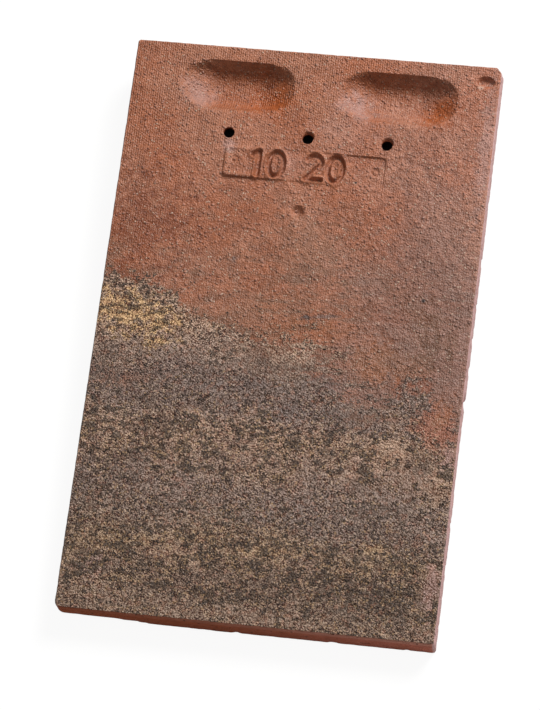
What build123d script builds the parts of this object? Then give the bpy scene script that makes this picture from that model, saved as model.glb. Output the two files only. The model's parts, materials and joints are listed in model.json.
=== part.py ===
from build123d import *
import math
import os

# Plain clay roof tile in millimetres, one pressed and fired piece.
# It is modelled flat, with the middle of its weather face at the origin,
# its head towards +Y and its underside below. At the end it is laid down
# face up, on its two nibs and the lower arris of its tail.

# Slab
tile_length = 265.0
tile_width = 165.0
tile_thickness = 13.0
corner_radius = 1.5  # seen from above, where nothing has knocked the corner
tail_left_corner_radius = 3.5  # worn round
head_right_corner_radius = 2.6  # chipped
face_arris_radius = 0.8
under_arris_radius = 1.2

# Nail holes, in a row across the head
nail_hole_count = 3
nail_hole_diameter = 5.0
nail_hole_pitch = 35.5
nail_hole_from_head = 41.3

# Nibs, which hook over a batten; the hooking face is upright
nib_pitch = 73.0
nib_row_shift = 2.0  # middle of the pair, to the right of the tile's middle
nib_from_head = 24.0  # head edge to the hooking face
nib_height = 10.0
nib_width = 44.0  # at the underside
nib_depth = 17.0
nib_tip_width = 37.0
nib_tip_depth = 9.5
nib_corner_radius = 3.5  # slanting edges of the back
nib_side_radius = 2.2  # upright edges of the hooking face
nib_edge_radius = 1.8  # round the tip
nib_root_radius = 1.5

# Hollows that the press leaves in the face above the nibs
hollow_from_head = 7.0
hollow_length = 51.5  # across the tile
hollow_width = 22.0
hollow_depth = 7.0
hollow_corner_radius = 9.5
hollow_floor_length = 22.0
hollow_floor_width = 7.0
hollow_head_wall = 5.6  # run of the steep wall, seen from above
hollow_floor_corner_radius = 3.3
hollow_floor_blend = 6.0
hollow_rim_radius = 1.6

# Print of the press's number plate: its left end stands proud, its right end is sunk
stamp_length = 72.0
stamp_width = 14.5
stamp_from_head = 54.7  # head edge to the middle of the print
stamp_corner_radius = 2.0
stamp_rise = 0.5
stamp_sink = 1.1

# Round dents in the face
centre_dent_diameter = 6.6
centre_dent_depth = 0.9
centre_dent_from_head = 76.0
corner_dent_length = 7.4  # across the tile
corner_dent_width = 5.6
corner_dent_depth = 1.5
corner_dent_from_head = 8.2
corner_dent_from_side = 4.9

head_y = tile_length / 2
tail_y = -tile_length / 2
under_z = -tile_thickness
nib_face_y = head_y - nib_from_head


def make_slab():
    side_x = tile_width / 2
    corners = [(-side_x, tail_y), (side_x, tail_y), (side_x, head_y), (-side_x, head_y)]
    radii = [tail_left_corner_radius, corner_radius, head_right_corner_radius, corner_radius]
    outline = make_face(FilletPolyline(*corners, radius=radii, close=True))
    slab = extrude(outline, -tile_thickness)
    slab = fillet(slab.faces().sort_by(Axis.Z)[-1].edges(), face_arris_radius)
    return fillet(slab.faces().sort_by(Axis.Z)[0].edges(), under_arris_radius)


def make_nib(x):
    # A drafted lug: upright where it hooks, sloped at its back and ends.
    tip_left = (nib_width - nib_tip_width) / 2
    nib = Wedge(
        nib_width,
        nib_height,
        nib_depth,
        tip_left,
        0,
        tip_left + nib_tip_width,
        nib_tip_depth,
        align=(Align.CENTER, Align.MIN, Align.MIN),
    )
    nib = Pos(x, nib_face_y, under_z) * Rot(X=-90) * nib
    nib = fillet(nib.faces().sort_by(Axis.X)[0].edges().sort_by(Axis.Y)[-1], nib_corner_radius)
    nib = fillet(nib.faces().sort_by(Axis.X)[-1].edges().sort_by(Axis.Y)[-1], nib_corner_radius)
    hook_edges = nib.faces().sort_by(Axis.Y)[0].edges().sort_by(Axis.X)
    nib = fillet([hook_edges[0], hook_edges[-1]], nib_side_radius)
    return fillet(nib.faces().sort_by(Axis.Z)[0].edges(), nib_edge_radius)


def make_hollow(x):
    # The punch: steep towards the head, with a long ramp towards the tail.
    rim_y = head_y - hollow_from_head - hollow_width / 2
    floor_y = head_y - hollow_from_head - hollow_head_wall - hollow_floor_width / 2
    rim = Pos(x, rim_y) * RectangleRounded(hollow_length, hollow_width, hollow_corner_radius)
    floor = Pos(x, floor_y, -hollow_depth) * RectangleRounded(
        hollow_floor_length, hollow_floor_width, hollow_floor_corner_radius
    )
    punch = loft([rim, floor], ruled=True)
    return fillet(punch.faces().sort_by(Axis.Z)[0].edges(), hollow_floor_blend)


def inner_edges(face):
    # Edges round the openings or lugs inside a face, without its outline.
    return [edge for wire in face.inner_wires() for edge in wire.edges()]


def largest_faces(part):
    # Underside first, then the weather face.
    return part.faces().sort_by(SortBy.AREA)[-2:].sort_by(Axis.Z)


def press_stamp(tile):
    # One plate, pressed in at a slant: clay above its face goes, clay below it stays.
    middle_y = head_y - stamp_from_head
    reach = 2 * (stamp_rise + stamp_sink)
    outline = RectangleRounded(stamp_length, stamp_width, stamp_corner_radius)
    block = Pos(0, middle_y) * extrude(outline, reach, both=True)
    plate_face = Plane(
        origin=(0, middle_y, (stamp_rise - stamp_sink) / 2),
        z_dir=(stamp_rise + stamp_sink, 0, stamp_length),
    )
    above = split(block, plate_face, keep=Keep.TOP)
    below = split(block, plate_face, keep=Keep.BOTTOM)
    return tile + below - above


def make_dent(x, y, length, width, depth):
    # A ball, drawn out across the tile where the dent is oval.
    ball_radius = (width**2 / 4 + depth**2) / (2 * depth)
    ball = Sphere(ball_radius)
    if length != width:
        ball = scale(ball, by=(length / width, 1, 1))
    return Pos(x, y, ball_radius - depth) * ball


def make_nail_holes():
    row_y = head_y - nail_hole_from_head
    drill = Cylinder(nail_hole_diameter / 2, 3 * tile_thickness)
    return [Pos(0, row_y) * place * drill for place in GridLocations(nail_hole_pitch, 0, nail_hole_count, 1)]


def lying_angle():
    # Slope at which the rounded tips of the nibs and the tail's lower arris touch one plane.
    run = (nib_face_y + nib_edge_radius) - (tail_y + under_arris_radius)
    drop = nib_height + under_arris_radius - nib_edge_radius
    wider_round = nib_edge_radius - under_arris_radius
    return math.degrees(math.atan2(drop, run) + math.asin(wider_round / math.hypot(run, drop)))


def lay_down(tile):
    tile = Rot(X=lying_angle()) * tile
    box = tile.bounding_box()
    return Pos(-box.center().X, -box.center().Y, -box.min.Z) * tile


def make_tile():
    tile = make_slab()
    places = [nib_row_shift - nib_pitch / 2, nib_row_shift + nib_pitch / 2]
    tile += [make_nib(x) for x in places]
    tile = fillet(inner_edges(largest_faces(tile)[0]), nib_root_radius)
    tile -= [make_hollow(x) for x in places]
    tile = fillet(inner_edges(largest_faces(tile)[1]), hollow_rim_radius)
    tile = press_stamp(tile)
    tile -= make_dent(
        0, head_y - centre_dent_from_head, centre_dent_diameter, centre_dent_diameter, centre_dent_depth
    )
    tile -= make_dent(
        tile_width / 2 - corner_dent_from_side,
        head_y - corner_dent_from_head,
        corner_dent_length,
        corner_dent_width,
        corner_dent_depth,
    )
    tile -= make_nail_holes()
    return lay_down(tile)


roof_tile = make_tile()
os.makedirs("parts", exist_ok=True)
export_step(roof_tile, "parts/roof_tile.step")
size = roof_tile.bounding_box().size
print("roof_tile", round(size.X, 2), "x", round(size.Y, 2), "x", round(size.Z, 2), "mm")
print("volume", round(roof_tile.volume / 1000, 1), "cubic centimetres")
print("slope", round(lying_angle(), 3), "degrees")
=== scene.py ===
import json
import math

import bmesh
import bpy
from mathutils import Matrix, Vector, noise


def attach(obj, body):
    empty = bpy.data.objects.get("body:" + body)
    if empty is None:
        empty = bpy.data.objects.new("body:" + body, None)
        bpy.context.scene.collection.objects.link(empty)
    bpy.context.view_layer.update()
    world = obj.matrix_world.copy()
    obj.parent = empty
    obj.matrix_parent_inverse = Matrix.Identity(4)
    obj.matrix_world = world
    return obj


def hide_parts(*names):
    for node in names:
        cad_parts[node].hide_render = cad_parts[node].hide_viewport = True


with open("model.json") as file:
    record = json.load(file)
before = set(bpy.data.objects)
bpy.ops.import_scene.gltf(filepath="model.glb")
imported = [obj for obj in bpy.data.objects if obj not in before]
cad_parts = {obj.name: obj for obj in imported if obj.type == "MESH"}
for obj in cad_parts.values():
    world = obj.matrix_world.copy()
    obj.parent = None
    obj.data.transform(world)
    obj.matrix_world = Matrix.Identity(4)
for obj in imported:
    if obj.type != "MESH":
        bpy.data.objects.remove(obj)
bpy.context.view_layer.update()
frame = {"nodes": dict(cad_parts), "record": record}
print("frame loaded")

# Tile space: millimetres, origin in the middle of the weather face,
# x across, y up to the head, z out of the face.
mounts = {mount["name"]: mount for mount in frame["record"]["mounts"]}
tileSize = {"width": 165.0, "length": 265.0, "thickness": 13.0}
halfWidth = tileSize["width"] / 2
halfLength = tileSize["length"] / 2
faceMountUp = 30.0  # where the weather_face mount lies, up from the middle
faceNormal = Vector(mounts["weather_face"]["axis"]).normalized()
faceUp = faceNormal.cross(Vector((1, 0, 0))).normalized()
tileOrigin = Vector(mounts["weather_face"]["pos_m"]) - faceUp * faceMountUp / 1000
tileSlope = math.atan2(faceUp.z, faceUp.y)
fromTile = Matrix.Translation(tileOrigin) @ Matrix.Rotation(tileSlope, 4, "X") @ Matrix.Scale(0.001, 4)
toTile = fromTile.inverted()

cameraSettings = {
    "place": (0.22543, -0.55733, 1.55631),
    "turn": (20.309, 5.740, 7.632),
    "lens": 191.48,
}


def makeCamera():
    data = bpy.data.cameras.new("photoCamera")
    data.lens = cameraSettings["lens"]
    camera = bpy.data.objects.new("photoCamera", data)
    camera.location = cameraSettings["place"]
    camera.rotation_euler = [math.radians(angle) for angle in cameraSettings["turn"]]
    bpy.context.scene.collection.objects.link(camera)
    bpy.context.scene.camera = camera


makeCamera()
print("camera placed")


def smoothStep(low, high, value):
    # also runs downwards, where low is the larger
    share = min(1.0, max(0.0, (value - low) / (high - low)))
    return share * share * (3 - 2 * share)


def bump(distance, reach):
    # 1 at the middle, falling off smoothly
    return math.exp(-((distance / reach) ** 2))


# Marks pressed into the face

plate = {
    "middle": (0.0, 77.8),
    "half": (36.0, 7.25),
    "corner": 2.0,
    "acrossTilt": -0.58,  # change of height from the middle to the right end
    "upTilt": -0.34,  # and from the middle to the upper edge
    "edge": 0.35,
    "beyond": 2.5,  # how far past its outline the face still changes
    "rim": 0.52,  # clay squeezed up along its left end
    "rimInside": 0.9,
    "rimReach": 0.9,
    "rimAcross": (-14.0, -30.0),
}
numerals = {
    "places": [("1", -21.5), ("0", -12.6), ("2", 4.4), ("0", 14.0)],
    "lines": {
        "0": [],
        "1": [((0.9, 5.7), (0.9, -5.7)), ((0.9, 5.7), (-1.7, 4.0))],
        "2": [((2.7, 1.1), (-3.2, -5.7)), ((-3.2, -5.7), (3.5, -5.7))],
    },
    "ovals": {"0": ((0, 0), (3.35, 5.75))},  # middle and radii
    "arcs": {"2": ((0, 2.6), 3.1, -30, 165)},  # middle, radius, and the angles of the ends
    "halfStroke": 1.35,
    "depth": 1.5,
    "lipHeight": 0.55,
    "lipOutside": 0.3,
    "lipReach": 0.75,
}
plateScrews = {"places": [(-31.2, 78.9), (31.8, 78.0)], "radius": 1.3, "depth": 0.55, "reach": 0.5}
holeLedges = {"places": [(0.2, 92.1), (35.8, 92.2)], "inner": 2.15, "outer": 2.65, "depth": 1.2}
dimple = {"place": (-0.4, 56.6), "radius": 3.2, "depth": 1.25}
cornerDent = {"place": (76.0, 124.6), "half": (4.2, 3.1), "depth": 2.1, "power": 3.4, "lean": 0.50}


def lineDistance(x, y, start, end):
    runX, runY = end[0] - start[0], end[1] - start[1]
    share = ((x - start[0]) * runX + (y - start[1]) * runY) / (runX * runX + runY * runY)
    share = min(1.0, max(0.0, share))
    return math.hypot(x - start[0] - share * runX, y - start[1] - share * runY)


def ovalDistance(x, y, middle, radii):
    x, y = (x - middle[0]) / radii[0], (y - middle[1]) / radii[1]
    reach = math.hypot(x, y)
    slope = math.hypot(x / radii[0], y / radii[1])
    return abs(reach - 1) * reach / slope if slope > 0.001 else min(radii)


def arcDistance(x, y, middle, radius, low, high):
    x, y = x - middle[0], y - middle[1]
    angle = math.degrees(math.atan2(y, x)) % 360
    if low <= angle <= high or low <= angle - 360 <= high:
        return abs(math.hypot(x, y) - radius)
    ends = [math.radians(low), math.radians(high)]
    return min(math.hypot(x - radius * math.cos(end), y - radius * math.sin(end)) for end in ends)


def numeralDistance(name, x, y):
    found = [lineDistance(x, y, *line) for line in numerals["lines"][name]]
    if name in numerals["ovals"]:
        found.append(ovalDistance(x, y, *numerals["ovals"][name]))
    if name in numerals["arcs"]:
        found.append(arcDistance(x, y, *numerals["arcs"][name]))
    return min(found)


def plateEdgeDistance(x, y):
    # below 0 inside the print's outline
    outX = abs(x - plate["middle"][0]) - plate["half"][0] + plate["corner"]
    outY = abs(y - plate["middle"][1]) - plate["half"][1] + plate["corner"]
    return math.hypot(max(outX, 0), max(outY, 0)) + min(max(outX, outY), 0) - plate["corner"]


def cornerDentReach(x, y):
    (middleX, middleY), (halfX, halfY) = cornerDent["place"], cornerDent["half"]
    return math.hypot((x - middleX) / halfX, (y - middleY) / halfY)


def printHeight(x, y, edge):
    # The slanting print of the number plate, with its rim, numerals and screws
    (middleX, middleY), (halfX, halfY) = plate["middle"], plate["half"]
    height = plate["acrossTilt"] * (x - middleX) / halfX + plate["upTilt"] * (y - middleY) / halfY
    height *= 1 - smoothStep(-plate["edge"], plate["edge"], edge)
    rim = bump(edge + plate["rimInside"], plate["rimReach"])
    height += plate["rim"] * rim * smoothStep(*plate["rimAcross"], x)
    stroke = min(numeralDistance(name, x - at, y - middleY) for name, at in numerals["places"])
    outside = stroke - numerals["halfStroke"]
    if outside < 0:
        height -= numerals["depth"] * (1 - (stroke / numerals["halfStroke"]) ** 2)
    height += numerals["lipHeight"] * bump(outside - numerals["lipOutside"], numerals["lipReach"])
    for screwX, screwY in plateScrews["places"]:
        away = math.hypot(x - screwX, y - screwY) - plateScrews["radius"]
        height -= plateScrews["depth"] * bump(away, plateScrews["reach"])
    return height


def pressedMarks(x, y):
    edge = plateEdgeDistance(x, y)
    height = printHeight(x, y, edge) if edge < plate["beyond"] else 0.0
    for ledgeX, ledgeY in holeLedges["places"]:
        away = math.hypot(x - ledgeX, y - ledgeY)
        height -= holeLedges["depth"] * (1 - smoothStep(holeLedges["inner"], holeLedges["outer"], away))
    away = math.hypot(x - dimple["place"][0], y - dimple["place"][1]) / dimple["radius"]
    if away < 1:
        height -= dimple["depth"] * (1 - away * away)
    away = cornerDentReach(x, y)
    if away < 1:
        lean = 1 + cornerDent["lean"] * (y - cornerDent["place"][1]) / cornerDent["half"][1]
        height -= cornerDent["depth"] * (1 - away ** cornerDent["power"]) * lean
    return height


# The two pressed hollows, worn to smooth dishes

hollows = {
    "across": [(-60.2, -8.9), (11.0, 64.6)],
    "up": (102.0, 125.3),
    "depth": 7.2,
    # Run of each wall, and how fast it steepens towards the rim
    "left": (15.4, 1.15),
    "right": (17.0, 1.8),
    "tail": (15.0, 4.0),
    "head": (13.5, 4.6),
    "margin": 3.0,
    "deepest": -9.0,  # points below this are of the underside
    "facing": 0.2,
    "soften": 3,  # rounds of smoothing
    "softRim": 5,  # and of further smoothing at the head side
    "rimWidth": 4.0,
}


def wallShare(distance, wall):
    run, power = hollows[wall]
    return max(0.0, 1 - distance / run) ** power


def dishDepth(x, y):
    low, high = hollows["up"]
    for left, right in hollows["across"]:
        if left < x < right and low < y < high:
            ends = max(wallShare(x - left, "left"), wallShare(right - x, "right"))
            sides = max(wallShare(y - low, "tail"), wallShare(high - y, "head"))
            return hollows["depth"] * max(0.0, 1 - ends - sides)
    return 0.0


# Relief of the face and wear of the edges

faceRelief = {
    "waves": [(75.0, 0.10), (24.0, 0.07), (8.0, 0.06), (2.7, 0.045)],  # size and height of each
    "facing": 0.3,  # points that face further up than this, and lie higher than the next, take the relief
    "lowest": -8.0,
    "headFrom": 118.0,  # from here the relief stays below the head's top
    "headTop": 131.2,
    "headSlope": math.tan(tileSlope),
}
cornerRounds = {"headRight": 2.6}
edgeWear = {
    "band": 1.9,
    "push": {"left": 0.10, "right": 0.0, "head": 0.10, "tail": 0.0},
    "tailFlare": 0.26,
    "ripple": {"left": 0.16, "right": 0.04, "head": 0.16, "tail": 0.04},
    "lowerArris": {"left": 0.35, "right": 0.38, "head": 0.35, "tail": 0.16},
    "inAtFace": {"left": 0.0, "right": 0.30, "head": 0.0, "tail": 0.50},
    "arrisRound": 1.2,  # of the solid, made sharper again by the share below
    "arrisSharp": 0.78,
    "footLift": 0.012,  # keeps the tail's worn arris clear of the floor
    "cornerChip": 0.5,
    "upperArris": 0.22,
    # Side, place along it, reach, depth, and the height that the chip starts at
    "chips": [
        ("right", -21.8, 2.6, 1.2, -2.0), ("right", -44.0, 24.0, 0.25, -3.0), ("right", -96.0, 2.2, 0.9, -9.0),
        ("right", 44.0, 2.6, 0.7, -8.0), ("right", 8.0, 1.6, 0.6, -8.0), ("right", 71.0, 1.8, 0.5, -9.0),
        ("right", 24.0, 1.2, 0.5, -8.0), ("right", -6.0, 2.0, 0.5, -8.0), ("right", -76.0, 1.6, 0.6, -8.0),
        ("tail", 38.0, 2.0, 0.3, -9.0), ("tail", -4.0, 1.8, 0.4, -9.0), ("tail", 70.0, 1.6, 0.3, -9.0),
    ],
    "chipRise": 4.0,
    "chipCore": 0.6,  # share of the reach where a chip has its whole depth
    "lowerFrom": -9.0,
    "upperFrom": -2.2,
    "shift": {"left": 11.0, "right": 23.0, "head": 37.0, "tail": 51.0},
    "rippleSize": (7.0, 4.0),
    "frayed": {"size": 2.4, "shift": 5, "more": 0.15},
    "rippled": 0.1,
    "tailLoss": [(-84.0, 5.6), (-60.0, 5.0), (-48.0, 3.2), (-42.0, 1.3), (-18.0, 0.8), (-8.0, 0.0)],
    "tailWaves": (5.0, 0.35),
    "tailRoundTo": -62.0,  # left of this the tail's arris stays round
    "lossSlope": 0.68,
}


def clayWaves(x, y):
    height = 0.0
    for size, depth in faceRelief["waves"]:
        height += depth * noise.noise(Vector((x / size, y / size, size)))
    return height


def between(pairs, value):
    # straight lines through pairs of place and height
    if value <= pairs[0][0]:
        return pairs[0][1]
    for (low, first), (high, last) in zip(pairs, pairs[1:]):
        if value <= high:
            return first + (last - first) * (value - low) / (high - low)
    return pairs[-1][1]


def wallPush(side, along, z):
    # How far the clay has gone from a wall, into the tile
    lower = smoothStep(edgeWear["lowerFrom"], -tileSize["thickness"], z)
    upper = smoothStep(edgeWear["upperFrom"], 0.0, z)
    shift, (long, high), frayed = edgeWear["shift"][side], edgeWear["rippleSize"], edgeWear["frayed"]
    ripple = noise.noise(Vector((along / long, z / high, shift)))
    fray = noise.noise(Vector((along / frayed["size"], z / frayed["size"], shift + frayed["shift"])))
    fray = max(0.0, fray + frayed["more"])
    push = edgeWear["push"][side] + edgeWear["ripple"][side] * max(0.0, ripple + edgeWear["rippled"])
    push += lower * edgeWear["lowerArris"][side] * fray + upper * edgeWear["upperArris"] * fray
    push += upper * edgeWear["inAtFace"][side]
    for chipSide, place, reach, depth, top in edgeWear["chips"]:
        if chipSide == side:
            core = 1 - smoothStep(reach * edgeWear["chipCore"], reach, abs(along - place))
            push += depth * smoothStep(top, top - edgeWear["chipRise"], z) * core
    if side == "tail":
        push -= edgeWear["tailFlare"] * smoothStep(0.0, -tileSize["thickness"], z)
        size, wave = edgeWear["tailWaves"]
        loss = between(edgeWear["tailLoss"], along) + wave * noise.noise(Vector((along / size, 3.0, 0)))
        push += edgeWear["lossSlope"] * max(0.0, -tileSize["thickness"] + loss - z)
    return push


def squareUp(first, second, share):
    # How much further out a point of a rounded edge lies on a square one
    reach = math.hypot(first, second)
    if first <= 0 or second <= 0 or reach < 0.01:
        return 1.0
    return 1 + share * (reach / max(first, second) - 1)


def wearPoint(place):
    moved = Vector(place)
    rounding, corner = edgeWear["arrisRound"], cornerRounds["headRight"]
    inX, inY = halfWidth - rounding, halfLength - rounding
    down = -tileSize["thickness"] + rounding - place.z
    for axis, inner in ((0, inX), (1, inY)):
        out = abs(place[axis]) - inner
        grow = squareUp(out, down, edgeWear["arrisSharp"])
        if grow > 1 and not (axis == 1 and place.y < 0 and place.x < edgeWear["tailRoundTo"]):
            moved[axis] = math.copysign(inner + out * grow, place[axis])
            moved.z = -tileSize["thickness"] + rounding - down * grow
            moved.z += edgeWear["footLift"] if axis == 1 and place.y < 0 else 0
    outX, outY = moved.x - (halfWidth - corner), moved.y - (halfLength - corner)
    if outX > 0 and outY > 0:
        height = min(1.0, max(0.0, 1 + place.z / tileSize["thickness"]))
        grow = squareUp(outX, outY, 1 - height)
        grow -= edgeWear["cornerChip"] * height * min(outX, outY) / math.hypot(outX, outY)
        moved.x, moved.y = halfWidth - corner + outX * grow, halfLength - corner + outY * grow
    x, y, z = moved
    outX, outY = abs(x) - halfWidth + edgeWear["band"], abs(y) - halfLength + edgeWear["band"]
    if outX > 0:
        side, outward = ("right", 1) if x > 0 else ("left", -1)
        moved.x -= wallPush(side, y, z) * outX / edgeWear["band"] * outward
    if outY > 0:
        side, outward = ("head", 1) if y > 0 else ("tail", -1)
        moved.y -= wallPush(side, x, z) * outY / edgeWear["band"] * outward
    return moved


# The clay body

nailHoles = [(-35.5, 91.2), (0.0, 91.2), (35.5, 91.2)]
meshSettings = {
    "faceStep": 1.0,
    "wallStep": 1.25,
    "fineStep": 0.36,
    "weld": 0.002,
    "flat": 0.4,  # degrees, for faces that lie in one plane
    "sharp": 38.0,  # degrees, past which an edge is shaded sharp
    "underside": 0.6,
    "facing": 0.5,
    "upright": 0.3,
    "level": 0.995,
    "wallWidth": 1.5,
    "marksLowest": -2.0,
    "aroundPrint": 0.5,
    "aroundDent": 1.2,  # as a share of the dent's size
    # Left, right, lower and upper edge of the corner's dent, the print, and the nail holes
    "fineZones": [
        (70.8, 81.2, 120.4, 128.8), (-38.5, 38.5, 68.5, 87.2), (-38.9, -31.8, 87.2, 95.5),
        (-3.6, 3.7, 87.2, 96.4), (31.9, 39.2, 87.2, 96.4),
    ],
}
# Numbers of the materials, and how a face of the mesh is told to belong to one of them
surfaces = {"face": 0, "wall": 1, "under": 2, "hole": 3}
surfaceRules = {
    "holeReach": 3.0, "holeTop": -0.4,
    "faceTilt": 0.35, "tailTilt": 0.80, "tailBand": 1.0, "faceLowest": -8.0,
    "wallBand": 5.0, "wallBelow": 0.4, "wallTilt": -0.8,
}


def sliceFaces(bm, faces, axis, places):
    # Cuts faces across one axis, at the middle place first and then at the places on either side
    if not faces or not places:
        return
    half = len(places) // 2
    place = places[half]
    normal = Vector((0, 0, 0))
    normal[axis] = 1
    below, above, crossing = [], [], []
    for face in faces:
        spots = [vert.co[axis] for vert in face.verts]
        if max(spots) <= place:
            below.append(face)
        elif min(spots) >= place:
            above.append(face)
        else:
            crossing.append(face)
    edges = {edge for face in crossing for edge in face.edges}
    verts = {vert for face in crossing for vert in face.verts}
    cut = bmesh.ops.bisect_plane(bm, geom=[*verts, *edges, *crossing], dist=meshSettings["weld"],
                                 plane_co=normal * place, plane_no=normal)
    for part in cut["geom"]:
        if isinstance(part, bmesh.types.BMFace):
            (below if part.calc_center_bounds()[axis] < place else above).append(part)
    sliceFaces(bm, below, axis, places[:half])
    sliceFaces(bm, above, axis, places[half + 1:])


def steps(low, high, step):
    count = max(1, round((high - low) / step))
    return [low + (high - low) * i / count for i in range(1, count)]


def cutGrid(bm, chooser, xs, ys):
    sliceFaces(bm, [face for face in bm.faces if chooser(face)], 0, xs)
    sliceFaces(bm, [face for face in bm.faces if chooser(face)], 1, ys)


def insideBox(place, box):
    return box[0] < place[0] < box[1] and box[2] < place[1] < box[3]


def flattenMarks(bm):
    # The print's square steps and the corner's dent go, and pressedMarks presses them again, worn
    for vert in bm.verts:
        x, y, z = vert.co
        marked = plateEdgeDistance(x, y) < meshSettings["aroundPrint"]
        dented = cornerDentReach(x, y) < meshSettings["aroundDent"]
        if z > meshSettings["marksLowest"] and (marked or dented):
            vert.co.z = 0
    bmesh.ops.remove_doubles(bm, verts=bm.verts, dist=meshSettings["weld"])
    bmesh.ops.dissolve_degenerate(bm, edges=bm.edges, dist=meshSettings["weld"])


def beyondWalls(place):
    # How far outside the tile's outline a place lies, below 0 inside it
    return max(abs(place.x) - halfWidth, abs(place.y) - halfLength)


def sliceBody(bm):
    # Fine zones come first, while the mesh is small and each cut is quick
    fine, step, facing = meshSettings["fineStep"], meshSettings["faceStep"], meshSettings["facing"]
    for box in meshSettings["fineZones"]:
        for axis, ends in ((0, box[:2]), (1, box[2:])):
            sliceFaces(bm, [face for face in bm.faces if face.normal.z > facing], axis, ends)

        def inZone(face):
            return face.normal.z > facing and insideBox(face.calc_center_bounds(), box)

        cutGrid(bm, inZone, steps(box[0], box[1], fine), steps(box[2], box[3], fine))

    def coarse(face):
        middle = face.calc_center_bounds()
        if face.normal.z > facing and any(insideBox(middle, box) for box in meshSettings["fineZones"]):
            return False
        if middle.z > -tileSize["thickness"] + meshSettings["underside"]:
            return True
        return beyondWalls(middle) > -meshSettings["wallWidth"] and abs(face.normal.z) < meshSettings["level"]

    def outerWall(face):
        near = beyondWalls(face.calc_center_bounds()) > -meshSettings["wallWidth"]
        return near and abs(face.normal.z) < meshSettings["upright"]

    cutGrid(bm, coarse, steps(-halfWidth, halfWidth, step), steps(-halfLength, halfLength, step))
    walls = [face for face in bm.faces if outerWall(face)]
    sliceFaces(bm, walls, 2, steps(-tileSize["thickness"], 0, meshSettings["wallStep"]))


def pressHollows(bm):
    margin = hollows["margin"]
    for low, high in hollows["across"]:
        box = (low - margin, high + margin, hollows["up"][0] - margin, hollows["up"][1] + margin)
        verts = [vert for vert in bm.verts if insideBox(vert.co, box)
                 and vert.normal.z > hollows["facing"] and vert.co.z > hollows["deepest"]]
        for vert in verts:
            vert.co.z = -dishDepth(vert.co.x, vert.co.y)
        rim = [vert for vert in verts if vert.co.y > hollows["up"][1] - hollows["rimWidth"]]
        for part, rounds in ((verts, hollows["soften"]), (rim, hollows["softRim"])):
            for _ in range(rounds):
                bmesh.ops.smooth_vert(bm, verts=part, factor=0.5, use_axis_z=True)
    bm.normal_update()


def wornPlace(vert):
    x, y, z = vert.co
    worn = wearPoint(vert.co)
    if vert.normal.z > faceRelief["facing"] and z > faceRelief["lowest"]:
        rise = clayWaves(x, y) + pressedMarks(x, y)
        if y > faceRelief["headFrom"]:
            rise = min(rise, (faceRelief["headTop"] - y) * faceRelief["headSlope"])
        worn.z += rise
    return worn


def surfaceOf(face):
    middle, tilt = face.calc_center_median(), face.normal.z
    nearHole = any(math.hypot(middle.x - x, middle.y - y) < surfaceRules["holeReach"] for x, y in nailHoles)
    if nearHole and middle.z < surfaceRules["holeTop"]:
        return "hole"
    atTail = middle.y < surfaceRules["tailBand"] - halfLength
    if tilt > surfaceRules["tailTilt" if atTail else "faceTilt"] and middle.z > surfaceRules["faceLowest"]:
        return "face"
    above = middle.z > -tileSize["thickness"] - surfaceRules["wallBelow"]
    if beyondWalls(middle) > -surfaceRules["wallBand"] and above and tilt > surfaceRules["wallTilt"]:
        return "wall"
    return "under"


def makeClayBody():
    bm = bmesh.new()
    bm.from_mesh(frame["nodes"]["roof_tile"].data)
    bm.transform(toTile)
    bmesh.ops.remove_doubles(bm, verts=bm.verts, dist=meshSettings["weld"])
    flattenMarks(bm)
    flat = math.radians(meshSettings["flat"])
    bmesh.ops.dissolve_limit(bm, angle_limit=flat, verts=bm.verts, edges=bm.edges, delimit={"NORMAL"})
    sliceBody(bm)
    print("body sliced")
    pressHollows(bm)
    for vert in bm.verts:
        vert.co = wornPlace(vert)
    bm.normal_update()
    for edge in bm.edges:
        edge.smooth = edge.calc_face_angle(0) < math.radians(meshSettings["sharp"])
    for face in bm.faces:
        face.smooth = True
        face.material_index = surfaces[surfaceOf(face)]
    bm.transform(fromTile)
    mesh = bpy.data.meshes.new("clayTile")
    bm.to_mesh(mesh)
    print("clay body", len(bm.verts), "points", sum(len(face.verts) - 2 for face in bm.faces), "triangles")
    bm.free()
    piece = bpy.data.objects.new("clayTile", mesh)
    bpy.context.scene.collection.objects.link(piece)
    return piece


clayTile = makeClayBody()

# Small helpers for the materials

mixSockets = {"factor": 0, "under": 6, "over": 7, "result": 2}


def treeOf(*values):
    # The node tree that the first linked value lies in
    return next(value.id_data for value in values if isinstance(value, bpy.types.NodeSocket))


def plug(socket, value):
    if isinstance(value, bpy.types.NodeSocket):
        treeOf(value).links.new(value, socket)
    elif value is not None:
        socket.default_value = value


def addNode(tree, kind, values=None, **settings):
    made = tree.nodes.new("ShaderNode" + kind)
    for name, value in settings.items():
        setattr(made, name, value)
    for socket, value in (values or {}).items():
        plug(made.inputs[socket], value)
    return made


def calc(operation, *values):
    return addNode(treeOf(*values), "Math", dict(enumerate(values)), operation=operation).outputs[0]


def vectorCalc(operation, first, second):
    return addNode(treeOf(first), "VectorMath", {0: first, 1: second}, operation=operation).outputs[0]


def combine(operation, values):
    whole = values[0]
    for value in values[1:]:
        whole = calc(operation, whole, value)
    return whole


def product(*values):
    return combine("MULTIPLY", values)


def total(*values):
    return combine("ADD", values)


def around(field, strength):
    # A noise of mean 0.5 as a shift of mean 0
    return product(calc("SUBTRACT", field, 0.5), strength)


def blendColour(factor, under, over, blend="MIX"):
    made = addNode(treeOf(factor, under), "Mix", data_type="RGBA", blend_type=blend)
    for name, value in (("factor", factor), ("under", under), ("over", over)):
        plug(made.inputs[mixSockets[name]], (*value, 1) if isinstance(value, tuple) else value)
    return made.outputs[mixSockets["result"]]


def blendValue(share, first, last):
    return addNode(treeOf(share), "Mix", {0: share, 2: first, 3: last}).outputs[0]


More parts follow.
